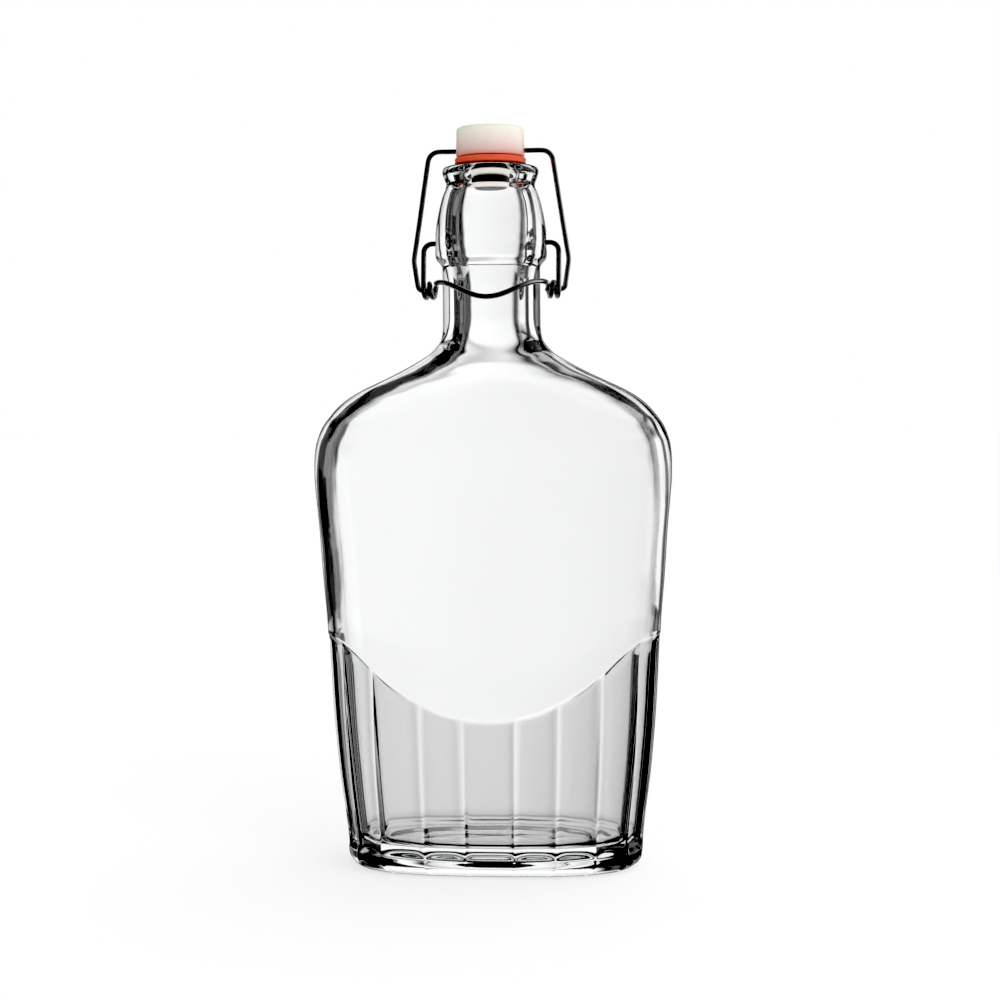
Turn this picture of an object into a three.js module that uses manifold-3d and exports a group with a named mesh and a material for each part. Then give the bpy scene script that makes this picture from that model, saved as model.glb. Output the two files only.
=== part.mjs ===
// Swing-top glass flask. Millimetres, +Z up, origin at the centre of the base.
// The broad faces of the flask look along -Y (front) and +Y (back); the closure's pivots run
// along X. The closure is shown shut: the lever hangs down against the front of the neck.
import * as THREE from 'three';
import { mergeVertices } from 'three/addons/utils/BufferGeometryUtils.js';
import Module from 'manifold-3d';

const { clamp, degToRad, lerp, radToDeg, smoothstep } = THREE.MathUtils;
const wasm = await Module();
wasm.setup();

// ---------- dimensions shared between pieces ----------
const LIP_TOP_Z = 213.2;
const GAP = 0.3;                // clearance between the gasket and the faces it rests between
const DIMPLE_Z = 190.2;         // lever pivots in two dimples in the neck
const DIMPLE_FLOOR_X = 14.0;
const COIL_Z = 176.0;           // bail pivots in the lever's coils
const CROSSBAR_Z = 218.0;       // stopper pivots on the bail's crossbar
const HEAD_BOTTOM_Z = 216.2;    // underside of the stopper head

// ---------- geometry helpers ----------
// Welded, position-only copy without collapsed triangles, wound so that it faces outwards
function tidy(geometry) {
  const bare = new THREE.BufferGeometry();
  bare.setAttribute('position', geometry.getAttribute('position').clone());
  if (geometry.index) bare.setIndex(geometry.index.clone());
  const welded = mergeVertices(bare, 1e-3);
  const position = welded.getAttribute('position');
  const index = welded.index.array;
  const corners = [0, 1, 2].map(() => new THREE.Vector3());
  const kept = [];
  let volume = 0;
  for (let i = 0; i < index.length; i += 3) {
    const triangle = [index[i], index[i + 1], index[i + 2]];
    if (new Set(triangle).size < 3) continue;
    kept.push(...triangle);
    corners.forEach((corner, k) => corner.fromBufferAttribute(position, triangle[k]));
    volume += corners[0].dot(corners[1].cross(corners[2])) / 6;
  }
  if (volume < 0) kept.reverse();
  welded.setIndex(kept);
  return welded;
}

function toSolid(geometry) {
  const tidied = tidy(geometry);
  return new wasm.Manifold(new wasm.Mesh({
    numProp: 3,
    vertProperties: new Float32Array(tidied.getAttribute('position').array),
    triVerts: new Uint32Array(tidied.index.array),
  }));
}

function fromSolid(solid) {
  const mesh = solid.getMesh();
  const geometry = new THREE.BufferGeometry();
  geometry.setAttribute('position', new THREE.Float32BufferAttribute(mesh.vertProperties, 3));
  geometry.setIndex(Array.from(mesh.triVerts));
  return geometry;
}

// Round profile turned about Z; the profile is a list of [radius, z]
function turned(profile, segments) {
  const points = profile.map(([radius, z]) => new THREE.Vector2(radius, z));
  return new THREE.LatheGeometry(points, segments).rotateX(Math.PI / 2);
}

function cylinderX(radius, x0, x1, z, segments) {
  return new THREE.CylinderGeometry(radius, radius, Math.abs(x1 - x0), segments)
    .rotateZ(Math.PI / 2)
    .translate((x0 + x1) / 2, 0, z);
}

// Values of a table at a key, interpolated between rows of [key, ...values]
function interpolate(rows, key) {
  if (key <= rows[0][0]) return rows[0].slice(1);
  const next = rows.findIndex((row) => key <= row[0]);
  if (next < 0) return rows[rows.length - 1].slice(1);
  const [lowKey, ...low] = rows[next - 1];
  const [highKey, ...high] = rows[next];
  return low.map((value, k) => lerp(value, high[k], (key - lowKey) / (highKey - lowKey)));
}

// ---------- bottle ----------
const PUSH_UP = 3.0;            // height of the hollow under the base
const FLOOR_Z = 8.0;            // inside floor, centre
const HEEL_TOP = 8.2;           // top of the plain heel ring
const FLUTE_START = 9.4;        // where the flutes begin above the heel
const FLUTE_LEVELS = [0, 0.35, 0.7, 1]; // rings up the flutes, as shares of their height
const LEDGE_DEPTH = 1.1;        // how far the smooth body stands proud of the flutes
const LEDGE_HALF_HEIGHT = 0.6;
const LEDGE_WIDTH_Z = 58;       // section whose x places each column along the ledge curve
const SMOOTH_START_Z = 76;      // first station of the smooth body above the ledge
const FADE_HALF_ANGLE = 6.5;    // the side flutes fade out this far each side of the X axis
const COLUMN_STEP = 8.6;        // widest angle between two columns of the surface, degrees
const DIMPLE_R = 1.35;
const DIMPLE_CUTTER_END_X = 19; // clear of the neck
const DIMPLE_SEGMENTS = 16;

// Underside and heel: share of the bottom body section, z
const BASE = [
  [0.40, PUSH_UP - 0.4], [0.68, 0.9], [0.74, 0], [0.89, 0],
  [0.955, 0.8], [0.99, 2.4], [1.0, 4.6], [1.0, HEEL_TOP],
];
// Smooth body: z, half-width, half-depth, squareness
const BODY = [
  [0.0, 45.0, 24.2, 2.9], [9.0, 45.6, 24.5, 2.9], [30.0, 48.2, 25.1, 2.9],
  [49.0, 49.8, 25.5, 2.85], [64.0, 50.6, 25.7, 2.8], [76.0, 51.2, 25.8, 2.8],
  [90.0, 52.35, 26.0, 2.8], [104.5, 53.1, 26.15, 2.8], [112.0, 53.9, 26.2, 2.8],
  [119.0, 54.6, 26.2, 2.78], [124.0, 54.6, 26.0, 2.75], [128.4, 54.2, 25.5, 2.7],
  [132.1, 53.2, 24.7, 2.65], [135.0, 51.9, 23.8, 2.6], [137.6, 50.0, 22.9, 2.55],
  [140.0, 48.0, 21.9, 2.5], [142.2, 45.8, 20.9, 2.45], [144.0, 43.0, 20.0, 2.4],
  [146.0, 39.5, 19.1, 2.35], [148.6, 33.8, 18.0, 2.28], [151.0, 28.9, 17.2, 2.2],
  [154.1, 23.1, 16.2, 2.12], [157.0, 18.6, 15.6, 2.05], [161.5, 15.1, 15.05, 2.0],
  [165.0, 14.85, 14.85, 2.0],
];
// Curved ledge over the flutes: distance from the centre line, z
const LEDGE = [
  [0, 46.8], [10.5, 48.0], [21, 51.9], [28, 55.6], [34, 60.0],
  [38.4, 65.0], [42.5, 68.0], [46.5, 70.0], [60, 70.5],
];
// Outside of the round neck and lip, going up: z, radius
const NECK = [
  [182.6, 14.85], [184.0, 15.6], [185.4, 16.75], [187.0, 17.0], [190.2, 17.0], [194.5, 16.7],
  [198.2, 16.1], [201.8, 15.3], [205.0, 14.4], [207.0, 13.5], [207.8, 13.45], [208.8, 13.8],
  [210.2, 14.3], [211.6, 14.6], [212.4, 14.4], [212.9, 13.8], [LIP_TOP_Z, 12.8],
];
// Inside of the neck, from the mouth down: z, radius
const BORE = [
  [LIP_TOP_Z, 9.5], [212.3, 8.6], [210.0, 8.4], [207.0, 8.6], [204.5, 9.6],
  [201.0, 10.4], [196.0, 10.8], [190.0, 10.7], [186.0, 10.1], [182.0, 9.2],
  [177.0, 8.6], [168.0, 8.6], [163.0, 9.2], [160.0, 10.2],
];
// Inside of the body, from the shoulder down: z, half-width, half-depth, squareness
const CAVITY = [
  [155.5, 14.6, 12.0, 2.0], [151.0, 21.5, 13.6, 2.1], [147.0, 30.0, 15.4, 2.2],
  [143.0, 37.5, 17.2, 2.3], [139.0, 43.2, 19.0, 2.4], [134.0, 47.6, 20.7, 2.5],
  [128.0, 50.4, 22.0, 2.6], [120.0, 51.2, 22.8, 2.6], [96.0, 49.4, 22.8, 2.6],
  [70.0, 47.6, 22.0, 2.6], [45.0, 45.4, 21.2, 2.6], [22.0, 42.8, 20.4, 2.6],
  [13.0, 41.2, 19.6, 2.5], [9.6, 37.0, 16.8, 2.4], [8.4, 28.0, 12.0, 2.2],
];
// Ridges between the flutes, in degrees from +X in one quadrant; the others mirror it
const RIDGES = [7.5, 20.0, 33.5, 50.0, 73.0];

// Columns of the bottle's surface: each knows its angle, the ridges it lies between
// and its share of the way from one to the other
function surfaceColumns() {
  const ridges = [0, 180].flatMap((turn) => [
    ...RIDGES.map((ridge) => turn + ridge),
    ...RIDGES.map((ridge) => turn + 180 - ridge).reverse(),
  ]);
  return ridges.flatMap((from, i) => {
    const to = ridges[i + 1] ?? ridges[0] + 360;
    const parts = Math.ceil((to - from) / COLUMN_STEP);
    return Array.from({ length: parts }, (_, k) => ({
      angle: degToRad(lerp(from, to, k / parts)),
      from: degToRad(from),
      to: degToRad(to),
      share: k / parts,
    }));
  });
}

// Point on a rounded-oval section at a polar angle
function oval(angle, halfWidth, halfDepth, squareness) {
  const cos = Math.cos(angle);
  const sin = Math.sin(angle);
  const sum = Math.pow(Math.abs(cos) / halfWidth, squareness)
    + Math.pow(Math.abs(sin) / halfDepth, squareness);
  const radius = Math.pow(sum, -1 / squareness);
  return [radius * cos, radius * sin];
}

function smoothPoint(column, z, scale = 1) {
  const [halfWidth, halfDepth, squareness] = interpolate(BODY, z);
  return oval(column.angle, halfWidth * scale, halfDepth * scale, squareness);
}

// 1 where a flute has its full depth, fading at the sides to 0 on the plain back panel
function fluteShare({ angle }) {
  const towardsBack = radToDeg(Math.atan2(Math.sin(angle), Math.abs(Math.cos(angle))));
  return 1 - smoothstep(towardsBack, -FADE_HALF_ANGLE, FADE_HALF_ANGLE);
}

// Point on the flat flute facet between two ridges
function flutePoint(column, z) {
  const [halfWidth, halfDepth, squareness] = interpolate(BODY, z);
  const [from, to] = [column.from, column.to].map((angle) => (
    oval(angle, halfWidth - LEDGE_DEPTH, halfDepth - LEDGE_DEPTH, squareness)));
  const depthShare = fluteShare(column);
  return smoothPoint(column, z).map((smooth, k) => (
    lerp(smooth, lerp(from[k], to[k], column.share), depthShare)));
}

function ledgeZ(column) {
  const [x] = smoothPoint(column, LEDGE_WIDTH_Z);
  return interpolate(LEDGE, Math.abs(x))[0];
}

// The bottle's rings, from the centre of the underside, up the outside and down the inside
// to the centre of the floor; each ring gives its point on a column
function bottleRings() {
  const roundRing = ([z, radius]) => ({ angle }) => (
    [radius * Math.cos(angle), radius * Math.sin(angle), z]);
  return [
    () => [0, 0, PUSH_UP],
    ...BASE.map(([scale, z]) => (column) => [...smoothPoint(column, 0, scale), z]),
    ...FLUTE_LEVELS.map((level) => (column) => {
      const z = lerp(FLUTE_START, ledgeZ(column) - LEDGE_HALF_HEIGHT, level);
      return [...flutePoint(column, z), z];
    }),
    (column) => {
      const z = ledgeZ(column) + LEDGE_HALF_HEIGHT;
      return [...smoothPoint(column, z), z];
    },
    ...BODY.filter(([z]) => z >= SMOOTH_START_Z)
      .map(([z]) => (column) => [...smoothPoint(column, z), z]),
    ...NECK.map(roundRing),
    ...BORE.map(roundRing),
    ...CAVITY.map(([z, ...section]) => ({ angle }) => [...oval(angle, ...section), z]),
    () => [0, 0, FLOOR_Z],
  ];
}

function bottleGeometry() {
  const rings = bottleRings();
  const columns = surfaceColumns();
  // The lathe only supplies the grid of triangles; every point is then put in its place
  const grid = new THREE.LatheGeometry(rings.map((_, j) => new THREE.Vector2(1, j)), columns.length);
  const position = grid.getAttribute('position');
  for (let i = 0; i <= columns.length; i++) {
    const column = columns[i % columns.length];
    rings.forEach((ring, j) => position.setXYZ(i * rings.length + j, ...ring(column)));
  }
  let solid = toSolid(grid);
  for (const side of [-1, 1]) {
    const dimple = cylinderX(DIMPLE_R, side * DIMPLE_FLOOR_X, side * DIMPLE_CUTTER_END_X,
      DIMPLE_Z, DIMPLE_SEGMENTS);
    solid = solid.subtract(toSolid(dimple));
  }
  return fromSolid(solid);
}

// ---------- wire helpers ----------
const WIRE_SIDES = 8;

const point = (x, y, z) => new THREE.Vector3(x, y, z);

// A curve that keeps the exact points it is given, when sampled once per point
class SampledPath extends THREE.Curve {
  constructor(points) {
    super();
    this.points = points;
  }

  indexAt(t) {
    return Math.round(t * (this.points.length - 1));
  }

  getPointAt(t) {
    return this.points[this.indexAt(t)].clone();
  }

  getTangentAt(t) {
    const i = this.indexAt(t);
    const before = this.points[Math.max(i - 1, 0)];
    const after = this.points[Math.min(i + 1, this.points.length - 1)];
    return after.clone().sub(before).normalize();
  }
}

function wire(points, radius) {
  const section = new THREE.Shape(Array.from({ length: WIRE_SIDES }, (_, i) => {
    const angle = (i / WIRE_SIDES) * 2 * Math.PI;
    return new THREE.Vector2(radius * Math.cos(angle), radius * Math.sin(angle));
  }));
  section.closePath();
  return new THREE.ExtrudeGeometry(section, {
    steps: points.length - 1,
    extrudePath: new SampledPath(points),
    bevelEnabled: false,
  });
}

// Points of the arc that rounds the corner at apex between two neighbours
function bend(before, apex, after, radius, steps) {
  const toBefore = before.clone().sub(apex).normalize();
  const toAfter = after.clone().sub(apex).normalize();
  const halfAngle = Math.acos(clamp(toBefore.dot(toAfter), -1, 1)) / 2;
  const setback = radius / Math.tan(halfAngle);
  const bisector = toBefore.clone().add(toAfter).normalize();
  const centre = apex.clone().addScaledVector(bisector, radius / Math.sin(halfAngle));
  const start = apex.clone().addScaledVector(toBefore, setback).sub(centre);
  const end = apex.clone().addScaledVector(toAfter, setback).sub(centre);
  const sweep = start.angleTo(end);
  const axis = start.clone().cross(end).normalize();
  return Array.from({ length: steps + 1 }, (_, i) => (
    start.clone().applyAxisAngle(axis, (sweep * i) / steps).add(centre)));
}

// The +X half of a wire, ending on the centre line, followed by its mirror image
function withMirror(half) {
  const other = half.slice(0, -1).map(({ x, y, z }) => point(-x, y, z)).reverse();
  return [...half, ...other];
}

// ---------- lever wire: dimple, leg, coil, front bow, and the same on the other side ----------
const LEVER_R = 0.8;            // wire radius
const LEVER_BAR_X = 20.6;       // legs beside the neck
const LEVER_END_GAP = 0.4;      // wire end to dimple floor
const PIVOT_ARM = 2.6;          // dimple floor to the point before the elbow
const ELBOW_R = 2.6;            // bend between the pivot arm and the leg
const LEG_END_RISE = 1.2;       // last point of the leg above the coil's centre
const COIL_R = 2.2;             // mean radius
const COIL_TURNS = 1.75;
const COIL_PITCH = 2.15;
const COIL_STEPS_PER_TURN = 14;
const BOW_DROP = 5.0;           // dip of the bow at the front
const BOW_DROP_POWER = 5;       // higher keeps the dip closer to the front
const BOW_REACH = 0.6;          // how far the bow swells forward of a circle
const BOW_STEPS = 12;           // per half

function leverPoints() {
  const armEnd = point(DIMPLE_FLOOR_X + PIVOT_ARM, 0, DIMPLE_Z);
  const elbow = point(LEVER_BAR_X, 0, DIMPLE_Z);
  const foot = point(LEVER_BAR_X, -COIL_R, COIL_Z);
  const half = [
    point(DIMPLE_FLOOR_X + LEVER_END_GAP, 0, DIMPLE_Z),
    armEnd,
    ...bend(armEnd, elbow, foot, ELBOW_R, 5),
    point(LEVER_BAR_X, -COIL_R, COIL_Z + LEG_END_RISE),
  ];
  // coil, working inwards: down the front, under, up the back, over the top, and on
  const coilWidth = COIL_TURNS * COIL_PITCH;
  const coilSteps = Math.round(COIL_TURNS * COIL_STEPS_PER_TURN);
  for (let i = 0; i <= coilSteps; i++) {
    const share = i / coilSteps;
    const angle = share * COIL_TURNS * 2 * Math.PI;
    half.push(point(
      LEVER_BAR_X - share * coilWidth,
      -COIL_R * Math.cos(angle),
      COIL_Z - COIL_R * Math.sin(angle),
    ));
  }
  // bow round the front of the neck
  const bowR = LEVER_BAR_X - coilWidth;
  for (let i = 1; i <= BOW_STEPS; i++) {
    const angle = (i / BOW_STEPS) * Math.PI / 2;
    const sin = Math.sin(angle);
    half.push(point(
      bowR * Math.cos(angle),
      -(bowR + BOW_REACH) * sin,
      COIL_Z + COIL_R - BOW_DROP * Math.pow(sin, BOW_DROP_POWER),
    ));
  }
  return withMirror(half);
}

// ---------- bail wire: pins in the coils, two legs, crossbar through the stopper ----------
const BAIL_R = 0.75;            // wire radius
const BAIL_FOOT_R = 1.6;        // bend from pin to leg
const BAIL_KNEE_R = 7;          // bend where the leg leans back in
const BAIL_SHOULDER_R = 3.4;    // bend from leg to crossbar

function bailPoints() {
  const pin = point(16.3, 0, COIL_Z);
  const foot = point(22.35, 0, COIL_Z);
  const knee = point(23.7, 0, 185.2);
  const hip = point(22.75, 0, 190.6);
  const leg = point(22.1, 0, 195);
  const shoulder = point(18.6, 0, CROSSBAR_Z);
  const middle = point(0, 0, CROSSBAR_Z);
  return withMirror([
    pin,
    ...bend(pin, foot, knee, BAIL_FOOT_R, 5),
    ...bend(foot, knee, hip, BAIL_KNEE_R, 3),
    leg,
    ...bend(leg, shoulder, middle, BAIL_SHOULDER_R, 6),
    point(11.5, 0, CROSSBAR_Z),
    point(5.5, 0, CROSSBAR_Z),
    middle,
  ]);
}

// ---------- stopper head with its plug nose ----------
const CLOSURE_SEGMENTS = 40;    // round the stopper and the gasket
const HEAD_R = 10.4;
const HEAD_TOP_Z = 225.0;
const HEAD_HOLE_R = 1.2;
const HEAD_HOLE_SEGMENTS = 12;
const HOLE_CUTTER_END_X = 12;   // clear of the head
const NOSE_R = 5.9;
const NOSE_BOTTOM_Z = 205.4;

function stopperGeometry() {
  const body = turned([
    [0, NOSE_BOTTOM_Z], [4.4, NOSE_BOTTOM_Z], [5.2, NOSE_BOTTOM_Z + 0.5],
    [5.6, NOSE_BOTTOM_Z + 1.6], [NOSE_R, 212.0], [NOSE_R, HEAD_BOTTOM_Z],
    [HEAD_R - 0.3, HEAD_BOTTOM_Z], [HEAD_R, HEAD_BOTTOM_Z + 0.5],
    [HEAD_R - 0.15, HEAD_TOP_Z - 1.4], [HEAD_R - 0.45, HEAD_TOP_Z - 0.5],
    [HEAD_R - 1.3, HEAD_TOP_Z], [0, HEAD_TOP_Z],
  ], CLOSURE_SEGMENTS);
  const hole = cylinderX(HEAD_HOLE_R, -HOLE_CUTTER_END_X, HOLE_CUTTER_END_X,
    CROSSBAR_Z, HEAD_HOLE_SEGMENTS);
  return fromSolid(toSolid(body).subtract(toSolid(hole)));
}

// ---------- gasket: a ring between lip and head, its inner edge dipping into the mouth ----------
const GASKET_R = 10.85;
const GASKET_BORE_R = 6.2;
const GASKET_BOTTOM_Z = LIP_TOP_Z + GAP;
const GASKET_TOP_Z = HEAD_BOTTOM_Z - GAP;

function gasketGeometry() {
  const innerEdge = [GASKET_BORE_R, 212.7];
  return turned([
    innerEdge, [7.8, 212.8], [9.1, GASKET_BOTTOM_Z], [GASKET_R - 0.6, GASKET_BOTTOM_Z],
    [GASKET_R, GASKET_BOTTOM_Z + 0.6], [GASKET_R, GASKET_TOP_Z - 0.5],
    [GASKET_R - 0.4, GASKET_TOP_Z], [GASKET_BORE_R, GASKET_TOP_Z], innerEdge,
  ], CLOSURE_SEGMENTS);
}

// ---------- materials ----------
const standard = (options) => new THREE.MeshStandardMaterial(options);
const glass = () => standard({
  color: 0xeef4f2, roughness: 0.03, metalness: 0, transparent: true, opacity: 0.35,
});
const steel = () => standard({ color: 0xb9bcbd, roughness: 0.25, metalness: 1 });
const plastic = () => standard({ color: 0xf1e6d8, roughness: 0.4, metalness: 0 });
const rubber = () => standard({ color: 0xe8502e, roughness: 0.6, metalness: 0 });

// ---------- assembly ----------
function piece(name, geometry, material) {
  const tidied = tidy(geometry);
  tidied.computeVertexNormals();
  const mesh = new THREE.Mesh(tidied, material);
  mesh.name = name;
  return mesh;
}

const flask = new THREE.Group();
flask.name = 'swing_top_flask';
flask.add(
  piece('bottle', bottleGeometry(), glass()),
  piece('lever_wire', wire(leverPoints(), LEVER_R), steel()),
  piece('bail_wire', wire(bailPoints(), BAIL_R), steel()),
  piece('stopper', stopperGeometry(), plastic()),
  piece('gasket', gasketGeometry(), rubber()),
);

export default flask;
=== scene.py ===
# Swing-top glass flask: glass body, wire lever, wire bail, plastic stopper and rubber gasket.
# It stands on z = 0 with its axis on z, wide along x and shallow along y. The fluted front
# faces -y. Shapes are given in millimetres; the scene and the materials are in metres.
import math
import bmesh
import bpy
import numpy as np
from mathutils import Matrix, Vector


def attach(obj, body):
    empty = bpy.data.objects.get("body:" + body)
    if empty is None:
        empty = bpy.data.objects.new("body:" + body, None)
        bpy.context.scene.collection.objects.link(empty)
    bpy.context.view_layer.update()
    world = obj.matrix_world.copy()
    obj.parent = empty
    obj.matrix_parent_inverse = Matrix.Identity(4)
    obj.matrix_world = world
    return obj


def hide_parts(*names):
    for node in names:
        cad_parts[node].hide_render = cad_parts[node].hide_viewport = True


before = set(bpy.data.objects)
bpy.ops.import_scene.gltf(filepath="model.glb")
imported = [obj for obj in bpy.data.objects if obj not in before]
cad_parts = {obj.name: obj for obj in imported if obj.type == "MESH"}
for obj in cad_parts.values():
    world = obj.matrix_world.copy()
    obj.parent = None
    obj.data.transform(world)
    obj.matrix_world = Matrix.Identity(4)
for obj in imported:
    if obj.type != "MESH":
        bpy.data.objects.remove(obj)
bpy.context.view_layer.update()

MM = 0.001


# ---------------------------------------------------------------- curves and numbers
def pchip(xs, ys, x):
    """Shape-preserving cubic through a table."""
    xs, ys, x = np.asarray(xs, float), np.asarray(ys, float), np.asarray(x, float)
    gaps = np.diff(xs)
    slopes = np.diff(ys) / gaps
    tangents = np.zeros_like(ys)
    for i in range(1, len(xs) - 1):
        if slopes[i - 1] * slopes[i] > 0:
            before = 2 * gaps[i] + gaps[i - 1]
            after = gaps[i] + 2 * gaps[i - 1]
            tangents[i] = (before + after) / (before / slopes[i - 1] + after / slopes[i])
    tangents[0], tangents[-1] = slopes[0], slopes[-1]
    k = np.clip(np.searchsorted(xs, x) - 1, 0, len(xs) - 2)
    t = np.clip((x - xs[k]) / gaps[k], 0, 1)
    return ((2 * t**3 - 3 * t**2 + 1) * ys[k]
            + (t**3 - 2 * t**2 + t) * gaps[k] * tangents[k]
            + (-2 * t**3 + 3 * t**2) * ys[k + 1]
            + (t**3 - t**2) * gaps[k] * tangents[k + 1])


def smooth(low, high, x):
    t = np.clip((x - low) / (high - low), 0, 1)
    return t * t * (3 - 2 * t)


def softplus(value, softness):
    return softness * np.logaddexp(0.0, value / softness)


def soft_min(a, b, softness):
    return -softness * np.logaddexp(-a / softness, -b / softness)


def stations(start, *spans):
    """Values from start (left out) on; each span is (its end, its points with both ends)."""
    values = []
    for end, count in spans:
        values.extend(np.linspace(start, end, count)[1:])
        start = end
    return values


def oval(angle, half_x, half_y, power):
    """Superellipse point in the direction of an angle."""
    c, s = np.cos(angle), np.sin(angle)
    radius = (np.abs(c / half_x) ** power + np.abs(s / half_y) ** power) ** (-1.0 / power)
    return radius * c, radius * s


def unit(vector):
    return vector / np.linalg.norm(vector)


def corner(before, apex, after, radius, steps):
    """Points of the arc that rounds the corner at apex."""
    before, apex, after = (np.array(v, float) for v in (before, apex, after))
    u, v = unit(before - apex), unit(after - apex)
    half_angle = math.acos(np.clip(u @ v, -1, 1)) / 2
    reach = radius / math.tan(half_angle)
    centre = apex + unit(u + v) * radius / math.sin(half_angle)
    first, last = apex + u * reach - centre, apex + v * reach - centre
    sweep_angle = math.acos(np.clip(first @ last / radius**2, -1, 1))
    across = unit(last - first * (first @ last) / radius**2)
    return [centre + first * math.cos(sweep_angle * i / steps)
            + across * radius * math.sin(sweep_angle * i / steps) for i in range(steps + 1)]


def densify(points, step):
    """Split the polyline's pieces so that none is longer than step."""
    dense = [np.array(points[0], float)]
    for point in points[1:]:
        start, point = dense[-1], np.array(point, float)
        length = np.linalg.norm(point - start)
        if length < 1e-6:
            continue
        pieces = max(1, int(math.ceil(length / step)))
        dense += [start + (point - start) * i / pieces for i in range(1, pieces + 1)]
    return dense


# ---------------------------------------------------------------- meshes
def mesh_object(name, vertices, faces):
    mesh = bpy.data.meshes.new(name)
    mesh.from_pydata((vertices * MM).tolist(), [], faces)
    mesh.validate()
    shade_smooth(mesh)
    obj = bpy.data.objects.new(name, mesh)
    bpy.context.scene.collection.objects.link(obj)
    return obj


def shade_smooth(mesh):
    mesh.polygons.foreach_set("use_smooth", [True] * len(mesh.polygons))
    mesh.update()


def grid_mesh(name, rings, first, last):
    """Closed body from rings of equal length, capped by one point at each end."""
    n = len(rings[0])
    vertices = np.concatenate([np.array([first], float)] + rings + [np.array([last], float)])
    j = np.arange(n)
    k = (j + 1) % n
    quads = []
    for i in range(len(rings) - 1):
        low, high = 1 + i * n, 1 + (i + 1) * n
        quads.append(np.stack([low + j, low + k, high + k, high + j], 1))
    top = 1 + (len(rings) - 1) * n
    first_cap = [(0, 1 + (i + 1) % n, 1 + i) for i in range(n)]
    last_cap = [(len(vertices) - 1, top + i, top + (i + 1) % n) for i in range(n)]
    faces = np.concatenate(quads).tolist() + first_cap + last_cap
    return mesh_object(name, vertices, faces)


def point_attribute(obj, name, values, first=0, last=0):
    """Store a value per vertex of a grid_mesh: its first point, its rings, its last point."""
    attribute = obj.data.attributes.new(name, "FLOAT", "POINT")
    attribute.data.foreach_set("value", np.r_[first, values, last].astype(np.float32))


# ---------------------------------------------------------------- flask: measured shape
# outer body: z, half-width along x, half-depth along y, superellipse power
BODY = np.array([
    (0.0, 45.0, 24.2, 2.9), (9.0, 45.6, 24.5, 2.9), (30.0, 48.2, 25.1, 2.9),
    (49.0, 49.8, 25.5, 2.85), (64.0, 50.6, 25.7, 2.8), (76.0, 51.2, 25.8, 2.8),
    (90.0, 52.35, 26.0, 2.8), (104.5, 53.3, 26.15, 2.8), (112.0, 54.0, 26.2, 2.8),
    (119.0, 54.55, 26.2, 2.78), (124.0, 54.6, 26.0, 2.75), (128.4, 54.2, 25.5, 2.7),
    (132.1, 53.2, 24.7, 2.65), (135.0, 51.9, 23.8, 2.6), (137.6, 50.0, 22.9, 2.55),
    (140.0, 48.0, 21.9, 2.5), (142.2, 45.6, 20.9, 2.45), (144.0, 43.0, 20.0, 2.4),
    (146.0, 39.4, 19.1, 2.35), (148.6, 33.8, 18.0, 2.28), (151.0, 28.8, 17.2, 2.2),
    (154.1, 23.1, 16.2, 2.12), (157.0, 18.6, 15.6, 2.05), (161.5, 15.3, 15.05, 2.0),
    (165.0, 14.87, 14.86, 2.0), (170.0, 14.85, 14.85, 2.0)])
# neck: z, radius
NECK = np.array([
    (165.0, 14.86), (175.0, 14.85), (182.2, 14.85), (183.2, 15.05), (184.2, 15.75),
    (185.2, 16.6), (186.4, 16.95), (188.0, 17.0), (191.5, 16.95), (194.5, 16.7),
    (198.2, 16.1), (201.8, 15.3), (204.6, 14.5), (206.2, 13.8), (207.0, 13.55)])
# lip, from the undercut over the top to the mouth: radius, z
LIP = np.array([
    (13.55, 207.0), (13.45, 207.6), (13.5, 208.2), (13.75, 208.8), (14.05, 209.6),
    (14.35, 210.5), (14.58, 211.3), (14.6, 211.9), (14.4, 212.45), (13.95, 212.9),
    (13.3, 213.13), (12.5, 213.2), (11.4, 213.17), (10.4, 213.0), (9.5, 212.6),
    (8.85, 211.9), (8.5, 210.9), (8.4, 209.6)])
# cavity, downwards: z, half-width, half-depth, superellipse power
CAVITY = np.array([
    (209.6, 8.4, 8.4, 2.0), (207.0, 8.6, 8.6, 2.0), (204.5, 9.6, 9.6, 2.0),
    (201.0, 10.4, 10.4, 2.0), (196.0, 10.8, 10.8, 2.0), (190.0, 10.7, 10.7, 2.0),
    (186.0, 10.1, 10.1, 2.0), (182.0, 9.2, 9.2, 2.0), (177.0, 8.6, 8.6, 2.0),
    (168.0, 8.6, 8.6, 2.0), (163.0, 9.2, 9.1, 2.0), (160.0, 10.2, 9.8, 2.0),
    (155.5, 14.2, 11.6, 2.0), (151.0, 21.3, 13.6, 2.1), (147.0, 29.6, 15.4, 2.2),
    (143.0, 37.5, 17.2, 2.3), (139.0, 43.4, 19.0, 2.4), (134.0, 47.8, 20.7, 2.5),
    (128.0, 50.3, 22.0, 2.6), (120.0, 51.0, 22.8, 2.6), (96.0, 49.4, 22.8, 2.6),
    (70.0, 47.6, 22.0, 2.6), (45.0, 45.4, 21.2, 2.6), (22.0, 42.8, 20.4, 2.6),
    (12.0, 41.6, 19.8, 2.6)])
# line where the flutes end at the top: distance from the centre line along x, z
LEDGE = np.array([
    (0, 46.8), (6, 47.15), (10.5, 48.0), (16, 49.6), (21, 51.9), (28, 55.7), (34, 60.1),
    (38.4, 64.4), (42.5, 67.8), (46.5, 70.0), (60, 70.6)])
LEDGE_LIFT = 1.3           # the flutes fade out this far above the table's line
LEDGE_SECTION_Z = 58.0     # section whose x values place the columns on the ledge line

# ridges between flutes, in degrees up from the x axis; one front ridge breaks the symmetry
RIDGES = [7.5, 20.0, 33.5, 50.0, 73.0]
RIDGES_FRONT_LEFT = [7.5, 20.0, 31.4, 50.0, 73.0]
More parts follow.
